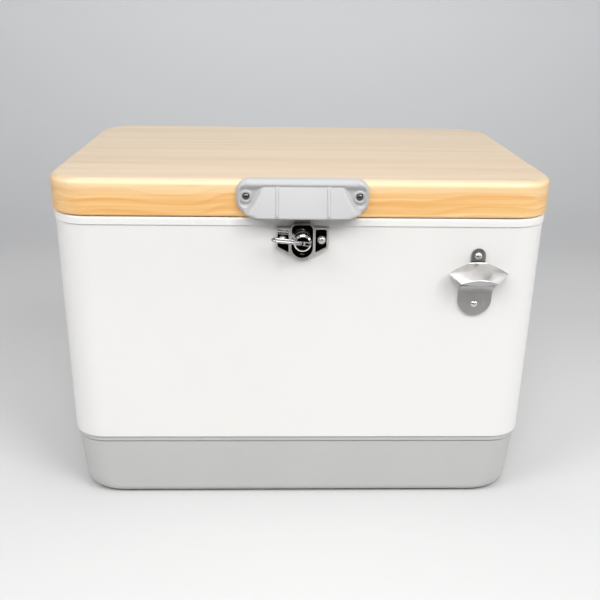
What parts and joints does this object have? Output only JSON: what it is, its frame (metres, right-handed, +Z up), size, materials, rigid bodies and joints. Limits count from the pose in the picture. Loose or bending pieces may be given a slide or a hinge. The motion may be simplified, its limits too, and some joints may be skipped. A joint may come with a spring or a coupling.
{
  "type": "cooler chest",
  "caption": "Hard-sided cooler chest: steel-wrapped insulated tub on a grey base, hinged wooden lid with pull, quarter-turn latch, bottle opener, swing handles and drain.",
  "frame": {"origin": "on the floor under the centre of the chest body", "axes": "+X to the right seen from the front, +Y to the back (hinge side), +Z up; the latch and the bottle opener face -Y"},
  "size_m": [0.6122, 0.4253, 0.41],
  "materials": {
    "base_plastic": "fine moulded texture, pale grey",
    "rubber_black": "matt",
    "white_enamel": "smooth satin powder coat",
    "white_plastic": "smooth moulded",
    "foam": "open foam skin",
    "chrome_plate": "polished",
    "steel_brushed": "vertical brushing",
    "zinc_plate": "plain zinc-plated",
    "pull_plastic": "light grey, satin",
    "wood_oiled": "planed and oiled, straight grain",
    "gasket_grey": "matt"
  },
  "bodies": {
    "chest": {"base_tub": "base_plastic", "base_feet": "rubber_black", "outer_shell": "white_enamel", "inner_liner": "white_plastic", "wall_insulation": "foam", "latch_housing": "chrome_plate", "latch_screws": "chrome_plate", "latch_backing_plate": "zinc_plate", "bottle_opener": "steel_brushed", "opener_screws": "chrome_plate", "opener_backing_plate": "zinc_plate", "left_handle_plate": "chrome_plate", "right_handle_plate": "chrome_plate", "side_handle_screws": "chrome_plate", "side_backing_plates": "zinc_plate", "hinge_body_leaves": "steel_brushed", "hinge_pads": "white_plastic", "hinge_body_screws": "chrome_plate", "hinge_backing_plates": "zinc_plate", "hinge_pins": "steel_brushed", "drain_spout": "white_plastic", "drain_gasket": "gasket_grey", "drain_nut": "white_plastic"},
    "lid": {"lid_board": "wood_oiled", "lid_liner": "white_plastic", "lid_insulation": "foam", "lid_gasket": "gasket_grey", "lid_liner_screws": "zinc_plate", "lid_pull_handle": "pull_plastic", "pull_handle_screws": "zinc_plate", "strike_strap": "chrome_plate", "strike_screws": "zinc_plate", "hinge_lid_leaves": "steel_brushed", "hinge_lid_screws": "chrome_plate"},
    "latch": {"turn_knob": "chrome_plate", "latch_cam": "steel_brushed", "loop_pin": "steel_brushed"},
    "finger_loop": {"pull_loop": "chrome_plate"},
    "left_handle": {"left_bail": "chrome_plate", "left_grip": "rubber_black"},
    "right_handle": {"right_bail": "chrome_plate", "right_grip": "rubber_black"},
    "drain_seal": {"drain_cap_seal": "gasket_grey"},
    "drain_stopper": {"drain_cap": "white_plastic"}
  },
  "joints": [
    {"name": "lid_hinge", "type": "hinge", "parent": "chest", "child": "lid", "pos_m": [0, 0.19505, 0.36685], "axis": [-1, 0, 0], "range_deg": [0, 96]},
    {"name": "latch_turn", "type": "hinge", "parent": "chest", "child": "latch", "pos_m": [0, -0.19675, 0.343], "axis": [0, -1, 0], "range_deg": [0, 90]},
    {"name": "loop_swing", "type": "hinge", "parent": "latch", "child": "finger_loop", "pos_m": [0, -0.20675, 0.343], "axis": [0.0958, 0, 0.9954], "range_deg": [0, 180]},
    {"name": "left_handle_swing", "type": "hinge", "parent": "chest", "child": "left_handle", "pos_m": [-0.29467, 0, 0.29], "axis": [0, 1, 0], "range_deg": [0, 105]},
    {"name": "right_handle_swing", "type": "hinge", "parent": "chest", "child": "right_handle", "pos_m": [0.29467, 0, 0.29], "axis": [0, -1, 0], "range_deg": [0, 105]},
    {"name": "drain_travel", "type": "slide", "parent": "chest", "child": "drain_seal", "axis": [1, 0, 0], "range_m": [0, 0.006]},
    {"name": "drain_turn", "type": "hinge", "parent": "drain_seal", "child": "drain_stopper", "pos_m": [0.29, 0.1, 0.058], "axis": [1, 0, 0], "range_deg": [0, 720]}
  ],
  "couplings": [
    {"joint": "drain_travel", "follows": "drain_turn", "m_per_rad": 0.00047746}
  ]
}
